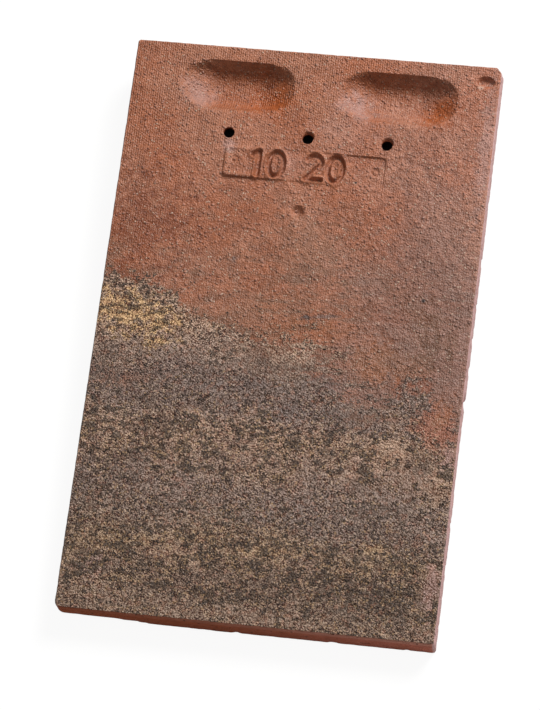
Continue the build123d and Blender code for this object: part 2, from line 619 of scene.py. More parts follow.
def shade(colour, *tones):
    # Lightens or darkens a colour by one tone, or by one for each channel
    tones = tones * 3 if len(tones) == 1 else tones
    vein = addNode(treeOf(colour), "CombineColor", dict(enumerate(tones))).outputs[0]
    return blendColour(1.0, colour, vein, "MULTIPLY")


def spread(value, low, high, first=0.0, last=1.0, smooth=True):
    return addNode(treeOf(value), "MapRange", {0: value, 1: low, 2: high, 3: first, 4: last},
                   interpolation_type="SMOOTHSTEP" if smooth else "LINEAR").outputs[0]


def ramp(factor, stops):
    made = addNode(treeOf(factor), "ValToRGB", {0: factor})
    band = made.color_ramp
    while len(band.elements) < len(stops):
        band.elements.new(0.5)
    for element, (place, colour) in zip(band.elements, stops):
        element.position = place
        element.color = (*colour, 1)
    return made.outputs[0]


def clouds(point, size, detail=3.0, rough=0.55, shift=0.0):
    # Noise around 0.5, with blotches about as large as size in millimetres
    return addNode(treeOf(point), "TexNoise", {
        "Vector": vectorCalc("ADD", point, (shift, shift * 1.7, shift * 0.6)),
        "Scale": 1 / size, "Detail": detail, "Roughness": rough}).outputs["Fac"]


def stretched(point, turn, scale):
    # The point turned about z by degrees and scaled, for drawn-out patterns
    turned = {"Vector": point, "Rotation": (0, 0, math.radians(turn)), "Scale": scale}
    return addNode(treeOf(point), "Mapping", turned, vector_type="POINT").outputs[0]


def newGroup(name, inputs, outputs):
    group = bpy.data.node_groups.new(name, "ShaderNodeTree")
    for socket, kind, value in inputs:
        made = group.interface.new_socket(socket, in_out="INPUT", socket_type="NodeSocket" + kind)
        if value is not None:
            made.default_value = value
    for socket, kind in outputs:
        group.interface.new_socket(socket, in_out="OUTPUT", socket_type="NodeSocket" + kind)
    return group, group.nodes.new("NodeGroupInput").outputs, group.nodes.new("NodeGroupOutput").inputs


def useGroup(group, values):
    made = treeOf(*values.values()).nodes.new("ShaderNodeGroup")
    made.node_tree = group
    for socket, value in values.items():
        plug(made.inputs[socket], value)
    return made.outputs


def makeTileSpaceGroup():
    # Metres of the object to millimetres of the tile
    group, given, result = newGroup("tileSpace", [("Object", "Vector", None)], [
        ("Point", "Vector"), ("Across", "Float"), ("Up", "Float"), ("Out", "Float")])
    mapped = addNode(group, "Mapping", {
        "Vector": given["Object"], "Location": toTile.translation,
        "Rotation": (-tileSlope, 0, 0), "Scale": (1000, 1000, 1000)}, vector_type="POINT").outputs[0]
    parts = addNode(group, "SeparateXYZ", {0: mapped})
    plug(result["Point"], mapped)
    for name, part in zip(("Across", "Up", "Out"), parts.outputs):
        plug(result[name], part)
    return group


def makePatchGroup():
    # A ragged oval patch
    group, given, result = newGroup("raggedPatch", [
        ("Point", "Vector", None), ("Middle", "Vector", None), ("Half", "Vector", (10, 10, 1)),
        ("Turn", "Float", 0.0), ("Roughen", "Float", 0.0), ("Ragged", "Float", 0.5), ("Soft", "Float", 0.3),
    ], [("Mask", "Float")])
    away = vectorCalc("SUBTRACT", given["Point"], given["Middle"])
    turned = addNode(group, "VectorRotate", {"Vector": away, "Angle": given["Turn"]}, rotation_type="Z_AXIS")
    scaled = vectorCalc("DIVIDE", turned.outputs[0], given["Half"])
    flat = vectorCalc("MULTIPLY", scaled, (1, 1, 0))
    reach = addNode(group, "VectorMath", {0: flat}, operation="LENGTH").outputs["Value"]
    reach = total(reach, around(given["Roughen"], given["Ragged"]))
    low = calc("SUBTRACT", 1.0, given["Soft"])
    plug(result["Mask"], spread(reach, low, 1.0, 1.0, 0.0))
    return group


grainShape = {"radius": (0.36, 0.52), "edge": 1.1, "core": {"Mask": 0.65, "Height": 0.0}}
clayGrain = {"coarse": (2.4, 4.0, 0.65), "fine": (0.55, 2.0, 0.6, 13.0), "shares": (0.6, 0.4)}


def makeGrainGroup():
    # Loose grains: Mask where one lies, Height of its dome
    group, given, result = newGroup("sandGrains", [
        ("Point", "Vector", None), ("Shift", "Vector", None),
        ("Size", "Float", 1.0), ("Density", "Float", 0.5),
    ], [("Mask", "Float"), ("Height", "Float")])
    moved = vectorCalc("ADD", given["Point"], given["Shift"])
    cells = addNode(group, "TexVoronoi", {"Vector": moved, "Scale": calc("DIVIDE", 1.0, given["Size"])})
    values = addNode(group, "SeparateColor", {0: cells.outputs["Color"]}).outputs
    there = calc("LESS_THAN", values[0], given["Density"])
    radius = spread(values[2], 0, 1, *grainShape["radius"], smooth=False)
    away = calc("DIVIDE", cells.outputs["Distance"], radius)
    for name, core in grainShape["core"].items():
        shape = spread(away, core, grainShape["edge"], 1.0, 0.0)
        plug(result[name], product(there, shape))
    return group


def makeClayGrainGroup():
    # Fine unevenness of fired clay, as a tone around 1 and a height in millimetres; the tone follows the
    # height, painted shade in the low places and painted light on the high ones
    group, given, result = newGroup("clayGrain", [
        ("Point", "Vector", None), ("Contrast", "Float", 0.3), ("Depth", "Float", 0.08),
    ], [("Tone", "Float"), ("Height", "Float")])
    both = total(*[
        product(clouds(given["Point"], *clayGrain[name]), share)
        for name, share in zip(("coarse", "fine"), clayGrain["shares"])])
    uneven = around(both, 2.0)
    plug(result["Tone"], total(1.0, product(uneven, given["Contrast"])))
    plug(result["Height"], product(uneven, given["Depth"]))
    return group


tileSpaceGroup = makeTileSpaceGroup()
patchGroup = makePatchGroup()
grainGroup = makeGrainGroup()
clayGrainGroup = makeClayGrainGroup()


def startMaterial(name, rough, specular):
    material = bpy.data.materials.new(name)
    material.use_nodes = True
    tree = material.node_tree
    shader = tree.nodes["Principled BSDF"]
    shader.inputs["Roughness"].default_value = rough
    shader.inputs["Specular IOR Level"].default_value = specular
    place = useGroup(tileSpaceGroup, {"Object": addNode(tree, "TexCoord").outputs["Object"]})
    return material, shader, place


def raiseSurface(shader, height):
    made = addNode(treeOf(height), "Bump", {"Strength": 1.0, "Distance": 0.001, "Height": height})
    plug(shader.inputs["Normal"], made.outputs["Normal"])


# Sanded weather face

faceColours = {
    "clay": (0.322, 0.103, 0.046),
    "clayPale": (0.345, 0.134, 0.074),
    "clayBrown": (0.200, 0.096, 0.058),
    "umber": (0.225, 0.125, 0.078),
    "orange": (0.315, 0.112, 0.044),
    "orangeRed": (0.360, 0.096, 0.034),
    # bounceOrange paints orange bounce light in shade, in the hollows and the corner's dent
    "bounceOrange": (0.360, 0.088, 0.022),
    "redClay": (0.345, 0.130, 0.078),
    # bloomAndSheen is a pale pink: paler clay in some patches, a painted sheen or highlight in others
    "bloomAndSheen": (0.415, 0.252, 0.220),
    "black": (0.018, 0.013, 0.012),
    "soot": (0.040, 0.024, 0.015),
    "ochre": (0.430, 0.268, 0.130),
    "tan": (0.340, 0.220, 0.135),
    "pale": (0.500, 0.370, 0.285),
    "mauve": (0.172, 0.106, 0.088),
    "deepRed": (0.215, 0.060, 0.024),
    "rust": (0.230, 0.088, 0.045),
    "ash": (0.115, 0.098, 0.094),
    "dust": (0.340, 0.214, 0.142),
}
# Height on the face in mm, colour of the sand there, and how black, how ochre and how coarse it is
sandBands = [
    (-132.5, (0.226, 0.146, 0.104), (0.18, 0.18, 0.30)),
    (-124.0, (0.226, 0.146, 0.104), (0.16, 0.16, 0.30)),
    (-116.0, (0.184, 0.117, 0.083), (0.40, 0.24, 0.60)),
    (-109.0, (0.200, 0.125, 0.088), (0.48, 0.24, 0.70)),
    (-99.0, (0.246, 0.156, 0.101), (0.42, 0.48, 0.90)),
    (-88.0, (0.206, 0.138, 0.105), (0.24, 0.16, 0.40)),
    (-72.0, (0.216, 0.146, 0.116), (0.22, 0.10, 0.40)),
    (-60.0, (0.262, 0.166, 0.122), (0.34, 0.26, 0.80)),
    (-50.0, (0.318, 0.197, 0.137), (0.42, 0.34, 1.00)),
    (-38.0, (0.206, 0.137, 0.109), (0.24, 0.14, 0.70)),
    (-24.0, (0.180, 0.120, 0.096), (0.10, 0.04, 0.10)),
    (-10.0, (0.262, 0.170, 0.126), (0.12, 0.05, 0.10)),
    (2.0, (0.372, 0.237, 0.166), (0.14, 0.08, 0.10)),
    (24.0, (0.325, 0.205, 0.145), (0.36, 0.10, 0.60)),
]
# Patches of sand with few crumbs, where the cloth's print shows: middle, half sizes, turn
calmPatches = [
    ((71, -36), (13, 13), 4), ((62, -60), (26, 16), 4), ((76, -108), (7, 20), 0), ((6, -12), (42, 14), 12),
    ((34, -34), (20, 10), 0),
]
calmEdge = (5.0, 0.6)  # raggedness and softness
# Upper edge of the sanded part: place across, height
sandEdge = [
    (-82.5, 20.5), (-68, 20), (-60, 17.5), (-50, 12), (-40, 6), (-25, 1), (0, -5), (18, -11),
    (30, -24), (42, -31), (52, -26), (58, -19), (67, -27), (74, -44), (82.5, -48),
]
sandEdgeRange = (-60.0, 40.0)
# Patches: middle, half sizes, turn in degrees, colour, strength, and raggedness and softness if special
facePatches = [
    ((-66, 46), (28, 32), 0, "deepRed", 0.86, 1.8, 0.9),
    ((-6, 78), (18, 9), 0, "bloomAndSheen", 0.22, 1.6, 0.9),
    # Painted light in the corner's dent: a pale highlight on its lit lower wall and orange bounce light on its
    # shaded side
    ((74.0, 122.4), (2.0, 1.7), 0, "pale", 0.55, 0.6, 0.8),
    ((77.6, 122.6), (2.6, 1.7), 0, "bounceOrange", 0.60, 0.6, 0.8),
    ((-68, 122), (20, 8), 0, "deepRed", 0.30, 1.8, 0.9),
    ((62, 56), (30, 48), 0, "mauve", 0.36, 1.6, 0.9),
    ((18, 98), (20, 28), 0, "bloomAndSheen", 0.15, 1.6, 0.9),
    ((56, -10), (12, 8), 0, "orange", 0.40),
    ((8, 40), (24, 18), 6, "umber", 0.34, 2.2, 0.9),
    ((-2, 72), (34, 12), 0, "clayPale", 0.45, 1.8, 0.9),
    ((58, 14), (26, 6), -42, "clayBrown", 0.55),
    # Painted light: the face is painted paler pink along its right edge
    ((79, 92), (5, 46), 0, "bloomAndSheen", 0.50, 1.6, 0.9),
    ((79, 0), (4, 44), 0, "bloomAndSheen", 0.18, 1.6, 0.9),
    ((-10, 10), (50, 14), 9, "umber", 0.30, 2.0, 0.9),
    ((14, 2), (26, 8), 8, "orange", 0.30, 2.2, 0.7),
    ((-30, 16), (24, 10), 6, "orangeRed", 0.20, 2.2, 0.6),
    ((42, -12), (10, 14), 10, "orange", 0.60, 2.4, 0.8),
    ((34, -20), (7, 4), 20, "umber", 0.45, 2.2, 0.8),
    ((71, -36), (12, 12), 4, "redClay", 0.80, 1.2, 0.45),
    ((74, -30), (6, 8), 4, "orange", 0.45, 2.6, 0.7),
    ((62, -20), (12, 4), 6, "orangeRed", 0.30, 3.0, 0.7),
    ((50, -8), (24, 5), 8, "clayBrown", 0.50, 3.0, 0.8),
    ((-6, -8), (22, 4), 4, "clayBrown", 0.45, 3.0, 0.9),
    ((46, -50), (26, 11), 4, "dust", 0.60, 2.6, 0.8),
    ((77, -63), (8, 14), 0, "dust", 0.66, 2.0, 0.8),
    # Painted light along the right edge
    ((79, -54), (4, 9), 0, "bloomAndSheen", 0.95, 1.2, 0.7),
    ((-5, -65), (22, 7), 0, "dust", 0.42),
    ((-32, -45), (8, 4), 0, "dust", 0.50),
    ((-28, -105), (17, 5), 0, "dust", 0.60),
    ((44, -105), (10, 4), 0, "dust", 0.50),
    ((-52, 2), (14, 9), 0, "dust", 0.35),
    ((-42, -41), (9, 2.4), 4, "dust", 0.60, 2.4, 0.8),
    ((-4, -54), (28, 2.6), 4, "dust", 0.55, 2.6, 0.8),
    ((22, -47), (11, 2.2), -6, "dust", 0.50, 2.4, 0.8),
    ((-66, -42), (10, 3), 0, "dust", 0.45, 2.4, 0.8),
    ((-46, -90), (10, 4), -20, "dust", 0.40, 2.4, 0.8),
    ((12, -36), (30, 6), 4, "ash", 0.42, 2.6, 0.9),
    ((-12, -24), (40, 5), 2, "ash", 0.30, 2.6, 0.9),
    ((14, -83), (34, 9), 0, "ash", 0.26, 2.6, 0.9),
    ((-60, -60), (15, 10), 0, "soot", 0.30),
    ((-34, -34), (34, 5), 0, "soot", 0.20),
    ((30, -22), (16, 6), 0, "ash", 0.35),
    ((66, 4), (16, 16), 0, "clayBrown", 0.60),
    ((58, -76), (10, 5), 0, "soot", 0.25),
    ((44, -66), (10, 4), 0, "soot", 0.28),
    ((68, -99), (8, 9), 0, "soot", 0.62, 2.2, 0.9),
    ((-56, -38), (16, 9), 0, "soot", 0.32),
    ((-50, -56), (12, 6), 0, "soot", 0.28),
    ((0, -15), (26, 4), 0, "soot", 0.38),
    ((-76, -20), (8, 12), 0, "soot", 0.32),
    ((27, -36), (11, 5), 0, "soot", 0.42),
    ((62, -97), (15, 10), 0, "soot", 0.28),
    ((-76, -76), (8, 8), 0, "soot", 0.32),
    ((-68, -66), (14, 8), 0, "soot", 0.22),
    ((50, -86), (20, 7), 0, "soot", 0.24),
    ((50, -125), (18, 6), 0, "soot", 0.28),
    ((56, -33), (26, 6), 0, "dust", 0.30),
    ((28, -45), (10, 5), 0, "dust", 0.40),
    ((-78, -122), (6, 10), 0, "dust", 0.30),
    ((60, -121), (14, 12), 0, "soot", 0.56, 2.2, 0.9),
    ((-78, -56), (6, 36), 0, "soot", 0.20, 1.8, 0.9),
    ((-66, -28), (18, 10), 0, "soot", 0.18),
    ((-64, -26), (12, 5), 0, "rust", 0.30),
    ((-50, -47), (14, 3), 8, "soot", 0.55, 2.4, 0.8),
    ((26, -52), (12, 2.6), -4, "soot", 0.50, 2.4, 0.8),
    ((68, -53), (7, 6), -8, "soot", 0.62, 2.0, 0.8),
    ((-14, -64), (12, 2.2), 3, "soot", 0.40, 2.4, 0.8),
    ((-60, -72), (12, 2.6), -4, "soot", 0.40, 2.4, 0.8),
    ((40, -76), (14, 2.8), 4, "soot", 0.35, 2.4, 0.8),
    ((48, -114), (30, 10), 0, "soot", 0.52, 2.2, 0.9),
    ((0, -112), (16, 5), 0, "soot", 0.18),
    ((-68, -108), (8, 6), 0, "soot", 0.34),
    ((52, -93), (9, 3), 4, "ochre", 0.36, 2.6, 0.8),
    ((4, -99), (13, 3), 0, "ochre", 0.30, 2.6, 0.8),
    ((-58, -100), (18, 3.4), 6, "ochre", 0.28, 2.6, 0.8),
    ((-60, -117), (16, 3), 4, "ochre", 0.26, 2.6, 0.8),
    ((-62, -95), (9, 6), 0, "soot", 0.26),
    ((67, 1), (10, 12), 0, "soot", 0.24, 2.2, 0.9),
    ((49, 11), (15, 13), 0, "deepRed", 0.34, 2.2, 0.9),
    ((50, 102), (20, 30), 0, "deepRed", 0.19, 1.8, 0.9),
    ((27, -20), (9, 11), 0, "mauve", 0.30, 2.2, 0.9),
    ((44, -25), (8, 6), 0, "mauve", 0.24, 2.2, 0.9),
    ((42, -56), (8, 5), 0, "bloomAndSheen", 0.22, 2.2, 0.9),
    # Painted shade colour: deep red on the left hollow's shaded head wall
    ((-24, 122), (12, 8), 0, "deepRed", 0.20, 1.8, 0.9),
    ((-76, -100), (6, 11), 0, "soot", 0.22, 2.2, 0.9),
    ((78.5, -56), (4, 6), 0, "dust", 0.60, 1.4, 0.8),
    # Painted light along the right edge
    ((78, -106), (4, 17), 0, "bloomAndSheen", 0.60, 2.0, 0.8),
    ((-68, -115), (5, 9), -25, "bloomAndSheen", 0.32, 1.5, 0.6),
    ((-62, -103), (2.2, 6), -35, "bloomAndSheen", 0.32, 1.5, 0.6),
    ((9.4, 8.3), (2.6, 1.9), 0, "black", 0.85, 1.3, 0.8),
    ((16, 9.0), (9, 1.2), 6, "ash", 0.55, 1.8, 0.8),
    ((-25.7, 32), (2.2, 2.2), 0, "ash", 0.55, 1.4, 0.8),
    ((-34.5, 85.6), (4.0, 4.6), 0, "bloomAndSheen", 0.60, 1.4, 0.8),
    ((60, 20.5), (1.0, 1.0), 0, "black", 0.9, 0.6, 0.5),
    ((23.8, 72.5), (0.9, 0.7), 0, "black", 0.9, 0.6, 0.5),
]
ochrePatch = {
    "middle": (-66, 3.0), "half": (25, 12), "turn": -12, "edge": (5.0, 0.5),
    "colour": (0.520, 0.318, 0.150), "strength": 0.85, "black": 0.32,
}
# The smooth left ends of the hollows catch the light, painted as a pale highlight, and the shaded right ends
# and head walls are painted redder, as orange bounce light:
# distance from that end or from the middle, height on the face, half sizes, colour, strength in each hollow
hollowGlow = {
    "left": (8.0, 110.0, (10.5, 11.0), "bloomAndSheen", (0.52, 0.68)),
    "right": (-8.0, 109.0, (15.0, 12.0), "bounceOrange", (0.85, 0.85)),
    "middle": (0.0, 119.0, (24.0, 7.0), "bounceOrange", (0.35, 0.35)),
}
glowEdge = (3.0, 1.0)
clothPrint = {
    "pitch": 1.0,  # of the ribs up the tile; the weave's rows slant across them
    "row": 1.333,
    "slant": 0.5,
    "ribs": (0.080, 0.080),  # heights in mm in the clay and in the sand
    "rows": (0.030, 0.070),
    "wander": 0.5,
    "worn": (0.38, 0.60, 0.55, 1.25),
    "calm": 1.5,
    "lean": -0.35,  # the print is deepest towards the head's left corner
    "deepUp": (84, 122, 0.45, 1.10),
}
# Size in mm, detail, roughness, shift, and turn and stretch where it is drawn out
faceNoise = {
    "large": (34.0, 3, 0.5, 0),
    "blotch": (9.0, 4, 0.6, 31),
    "speck": (2.6, 3, 0.6, 7),
    "fray": (0.85, 2, 0.6, 61),
    "grit": (0.55, 1, 0.7, 5),
    "streak": (3.0, 4, 0.65, 3, 10, 0.18),
    "soot": (1.4, 3, 0.65, 71),
    "crumb": (2.6, 4, 0.7, 53, 12, 0.60),
    "warm": (1.5, 3, 0.65, 83),
    "rust": (2.4, 3, 0.65, 97),
    "drift": (10.0, 4, 0.6, 17, 4, 0.5),
}
raggedMix = (0.55, 0.45)  # of blotch and speck
# Below, four numbers are where a noise or a place starts and ends to count, and the strengths there
clayPaint = {
    "pale": (0.40, 0.60),
    "brownBlotches": (0.50, 0.66, 0.0, 0.45),
    "brownUp": (90, 40, 0.25, 1.0),
    "streaks": (0.48, 0.62),
    "streaksUp": (46, 22),
    "streakStrength": 0.75,
    "veilWander": 90,
    "sheenAcross": (-10, 85, 0.0, 0.16),
    "brownVeil": (78, 30, 0.0, 0.18),
    "mauveAcross": (-5, 70, 0.0, 0.54),
    "mauveUp": (66, 14),
}
sandSpread = {
    "edgeWander": 36,
    "thinning": (-45, 10, 3.0, 18.0),  # crisp at the left, thinning out at the right
    "rightAcross": (-30, 30),
    "streaks": 5.0,
    "specks": 2.5,
    "fray": 2.5,
    "blur": (-0.20, 0.20),
    "bandWander": {"large": 40, "blotch": 32},
}
crumbMix = {
    "calm": 0.30,
    "clusters": (0.42, 0.58, 0.05, 1.95),
    "clusterDrift": (0.40, 0.60, 0.55, 1.45),
    "strayBelow": (-25, 5),  # soot that strays into the clay
    "stray": 0.045,
    "warmBlotches": (0.42, 0.58, 0.3, 1.9),
    "rust": (0.22, 0.40),  # share covered and strength
    "warmStrength": 0.60,
    "fray": 0.32,
    "sootStrength": (0.35, 0.80),  # in the clay and in the sand
}
grainTone = {
    "pressed": {"Contrast": 0.22, "Depth": 0.12},
    "sandGrit": (0.40, 0.60, -0.76, 0.76),
    "calm": 0.70,
    "clayGrit": 0.9,
    "claySpeck": 1.0,
    "drift": 1.4,
    "driftShare": (0.4, 1.0),
    "channels": (1.0, 1.18, 1.32),  # dark grains are warmer than pale ones
    "least": 0.05,
}
# Cover is in the clay and in the sand, or a share of the crumbs' own cover
looseGrains = {
    # The raised grains are painted paler by their height: a painted highlight on their tops
    "raised": {"size": 1.70, "shift": 47.0, "cover": (0.50, 0.16), "colour": "bloomAndSheen", "strength": 0.42},
    "pale": {"size": 1.05, "shift": 37.0, "cover": (0.08, 0.16), "colour": "pale", "strength": 0.60},
    "ochre": {"size": 1.15, "shift": 23.0, "cover": 0.7, "colour": "ochre", "strength": 0.55},
    "black": {"size": 1.05, "shift": 11.0, "cover": 0.50, "colour": "black", "strength": 0.85},
}
# Heights in mm, pairs in the clay and in the sand
relief = {
    "fray": (0.54, 0.84),
    "calmFray": 0.65,
    "grit": 0.24,
    "lumps": 0.85,
    "lumpLean": -0.5,
    "lumpAcross": (-90, 20, 0.45, 1.15),
    "raised": 0.58,
    "pale": 0.24,
    "crumbs": 0.26,
}
# What share is covered decides how high a noise has to be; a small share takes a little more
speckEdge = {"all": (0.0, 1.0, 0.60, 0.40), "few": (0.0, 0.12, 0.14, 0.0), "blur": (-0.02, 0.03)}
patchRaggedness = 2.5
patchEdge = (2.4, 0.9)  # raggedness and softness where a patch names none
faceRoughness = (0.36, 0.48)


def tint(colour, name, *shares):
    return blendColour(product(*shares), colour, faceColours[name])


def clayToSand(fields, pair):
    # The first value in the clay, the second in the sand
    return spread(fields["sanded"], 0, 1, *pair)


def whereCalm(fields, value, smooth=False):
    # 1 except on the calm patches, where it goes to the value
    return spread(fields["calm"], 0, 1, 1.0, value, smooth=smooth)


def patchMask(fields, middle, half, turn, ragged, soft):
    return useGroup(patchGroup, {
        "Point": fields["point"], "Middle": (*middle, 0), "Half": (*half, 1), "Turn": math.radians(-turn),
        "Roughen": fields["ragged"], "Ragged": ragged, "Soft": soft})["Mask"]


def specks(field, share):
    # Irregular spots that cover about the given share of the surface
    edge = total(*[spread(share, *speckEdge[part], smooth=False) for part in ("all", "few")])
    return spread(calc("SUBTRACT", field, edge), *speckEdge["blur"])


def strew(fields, name, density):
    grain = looseGrains[name]
    return useGroup(grainGroup, {
        "Point": fields["point"], "Shift": (grain["shift"], -grain["shift"], 0), "Size": grain["size"],
        "Density": density})


def makeFaceNoise(point):
    found = {"point": point}
    for name, (size, detail, rough, shift, *drawn) in faceNoise.items():
        at = stretched(point, drawn[0], (drawn[1], 1.0, 1.0)) if drawn else point
        found[name] = clouds(at, size, detail, rough, shift)
    found["ragged"] = total(product(found["blotch"], raggedMix[0]), product(found["speck"], raggedMix[1]))
    return found


def findSand(place, fields):
    # How far below the sand's wandering edge a place lies, how much sand lies there, and where it is calm
    lowest, highest = sandEdgeRange
    share = spread(place["Across"], -halfWidth, halfWidth, smooth=False)
    edgeCurve = addNode(treeOf(share), "FloatCurve", {"Value": share})
    curve = edgeCurve.mapping.curves[0]
    while len(curve.points) < len(sandEdge):
        curve.points.new(0.5, 0.5)
    for spot, (x, y) in zip(curve.points, sandEdge):
        spot.location = ((x + halfWidth) / tileSize["width"], (y - lowest) / (highest - lowest))
    edgeCurve.mapping.update()
    edgeUp = spread(edgeCurve.outputs[0], 0, 1, lowest, highest, smooth=False)
    below = total(calc("SUBTRACT", edgeUp, place["Up"]), around(fields["ragged"], sandSpread["edgeWander"]))
    amount = total(
        calc("DIVIDE", below, spread(place["Across"], *sandSpread["thinning"])),
        product(spread(place["Across"], *sandSpread["rightAcross"]),
                around(fields["streak"], sandSpread["streaks"])),
        around(fields["speck"], sandSpread["specks"]),
        around(fields["fray"], sandSpread["fray"]),
    )
    calm = [patchMask(fields, *patch, *calmEdge) for patch in calmPatches]
    fields["below"], fields["calm"] = below, combine("MAXIMUM", calm)
    fields["sanded"] = spread(amount, *sandSpread["blur"])


def paintClay(place, fields):
    def counts(value, key):
        return spread(value, *clayPaint[key])

    up = place["Up"]
    veil = total(place["Across"], around(fields["large"], clayPaint["veilWander"]))
    clay = blendColour(counts(fields["large"], "pale"), faceColours["clay"], faceColours["clayPale"])
    clay = tint(clay, "clayBrown", counts(fields["blotch"], "brownBlotches"), counts(up, "brownUp"))
    clay = tint(clay, "clayBrown", counts(fields["streak"], "streaks"), counts(up, "streaksUp"),
                clayPaint["streakStrength"])
    # Painted sheen: the clay is painted paler towards the right, where the light falls
    clay = tint(clay, "bloomAndSheen", counts(veil, "sheenAcross"))
    clay = tint(clay, "clayBrown", counts(up, "brownVeil"))
    return tint(clay, "mauve", counts(veil, "mauveAcross"), counts(up, "mauveUp"))


def paintSand(place, fields):
    # Colour by height, and the shares of black and ochre and the coarseness that go with it
    wander = [around(fields[name], reach) for name, reach in sandSpread["bandWander"].items()]
    lowest, span = sandBands[0][0], sandBands[-1][0] - sandBands[0][0]
    bandAt = spread(total(place["Up"], *wander), lowest, sandBands[-1][0], smooth=False)
    sand, mixture = [
        ramp(bandAt, [((band[0] - lowest) / span, band[part]) for band in sandBands]) for part in (1, 2)
    ]
    shares = addNode(treeOf(mixture), "SeparateColor", {0: mixture}).outputs
    fields["blackShare"], fields["warmShare"], fields["coarse"] = shares
    return sand


def layPatches(fields, colour):
    for middle, half, turn, name, strength, *edge in facePatches:
        ragged, soft = edge or patchEdge
        mask = patchMask(fields, middle, half, turn, ragged * patchRaggedness, soft)
        colour = tint(colour, name, mask, strength)
    oval = [ochrePatch[part] for part in ("middle", "half", "turn")]
    yellow = patchMask(fields, *oval, *ochrePatch["edge"])
    fields["yellow"] = product(yellow, fields["sanded"])
    colour = blendColour(product(fields["yellow"], ochrePatch["strength"]), colour, ochrePatch["colour"])
    # Painted light in the hollows: pale highlights on the left ends and orange bounce light in the shade of
    # the right ends and head walls
    for hollow, (left, right) in enumerate(hollows["across"]):
        ends = {"left": left, "right": right, "middle": (left + right) / 2}
        for end, (away, up, half, name, strengths) in hollowGlow.items():
            mask = patchMask(fields, (ends[end] + away, up), half, 0, *glowEdge)
            colour = tint(colour, name, mask, strengths[hollow])
    return colour


def scatterCrumbs(fields, colour):
    # Irregular crumbs and specks of soot, warm sand and rust
    sanded = fields["sanded"]
    lively = whereCalm(fields, crumbMix["calm"])
    cluster = product(spread(fields["ragged"], *crumbMix["clusters"], smooth=False),
                      spread(fields["drift"], *crumbMix["clusterDrift"], smooth=False), lively)
    black = product(fields["blackShare"], cluster, sanded)
    black = calc("MAXIMUM", black, product(fields["yellow"], ochrePatch["black"]))
    nearSand = product(calc("SUBTRACT", 1.0, sanded), spread(fields["below"], *crumbMix["strayBelow"]))
    fields["blackShare"] = total(black, product(nearSand, cluster, crumbMix["stray"]))
    warmBlotches = spread(fields["blotch"], *crumbMix["warmBlotches"])
    fields["warmShare"] = product(fields["warmShare"], warmBlotches, sanded, lively)
    rustShare, rustStrength = crumbMix["rust"]
    rust = specks(fields["rust"], product(sanded, rustShare))
    colour = tint(colour, "rust", rust, rustStrength)
    warm = specks(fields["warm"], fields["warmShare"])
    colour = tint(colour, "tan", warm, crumbMix["warmStrength"])
    coarse = calc("MAXIMUM", fields["coarse"], fields["yellow"])
    field = blendValue(coarse, fields["soot"], fields["crumb"])
    field = total(field, around(fields["fray"], crumbMix["fray"]))
    fields["crumbs"] = specks(field, fields["blackShare"])
    return tint(colour, "soot", fields["crumbs"], clayToSand(fields, crumbMix["sootStrength"]))


def toneGrains(fields, colour):
    # Light and dark of single grains, much stronger in the sand
    # The pressed grain's tone is painted shade and light that follow its height
    pressed = useGroup(clayGrainGroup, {"Point": fields["point"], **grainTone["pressed"]})
    sandGrit = spread(fields["grit"], *grainTone["sandGrit"], smooth=False)
    sandGrit = product(sandGrit, whereCalm(fields, grainTone["calm"]))
    clayGrit = total(around(fields["grit"], grainTone["clayGrit"]),
                     around(fields["speck"], grainTone["claySpeck"]))
    toned = total(
        blendValue(fields["sanded"], clayGrit, sandGrit),
        calc("SUBTRACT", pressed["Tone"], 1.0),
        product(around(fields["drift"], grainTone["drift"]), clayToSand(fields, grainTone["driftShare"])),
    )
    fields["pressed"] = pressed["Height"]
    return shade(colour, *[
        calc("MAXIMUM", calc("MULTIPLY_ADD", toned, share, 1.0), grainTone["least"])
        for share in grainTone["channels"]])


def scatterGrains(fields, colour):
    covered = {"black": fields["blackShare"], "ochre": fields["warmShare"]}
    for name, grain in looseGrains.items():
        if name in covered:
            cover = product(covered[name], grain["cover"])
        else:
            cover = clayToSand(fields, grain["cover"])
        found = strew(fields, name, cover)
        fields[name] = found["Height"]
        # The raised grains are tinted by their height, so their tops get a painted highlight
        mask = found["Height" if name == "raised" else "Mask"]
        colour = tint(colour, grain["colour"], mask, grain["strength"])
    return colour


def printedCloth(place, fields):
    across = place["Across"]
    wander = total(across, around(fields["large"], clothPrint["wander"]))
    turns = calc("DIVIDE", wander, clothPrint["pitch"] / (2 * math.pi))
    rowTurns = calc("DIVIDE", place["Up"], clothPrint["row"] / (2 * math.pi))
    rows = calc("SINE", total(product(turns, clothPrint["slant"]), rowTurns))
    leaning = total(place["Up"], product(across, clothPrint["lean"]))
    printMask = product(spread(fields["blotch"], *clothPrint["worn"]),
                        whereCalm(fields, clothPrint["calm"], smooth=True),
                        spread(leaning, *clothPrint["deepUp"]))
    height = total(
        product(calc("SINE", turns), clayToSand(fields, clothPrint["ribs"])),
        product(rows, clayToSand(fields, clothPrint["rows"])),
    )
    return product(height, printMask)


def faceHeight(place, fields):
    # The cloth's print, raised sand, and the clay's own unevenness
    leaning = total(place["Across"], product(place["Up"], relief["lumpLean"]))
    return total(
        printedCloth(place, fields),
        fields["pressed"],
        product(clayToSand(fields, relief["fray"]), whereCalm(fields, relief["calmFray"]), fields["fray"]),
        product(fields["grit"], relief["grit"]),
        product(fields["speck"], relief["lumps"], spread(leaning, *relief["lumpAcross"])),
        product(fields["raised"], relief["raised"]),
        product(fields["pale"], relief["pale"]),
        product(fields["crumbs"], fields["sanded"], relief["crumbs"]),
    )


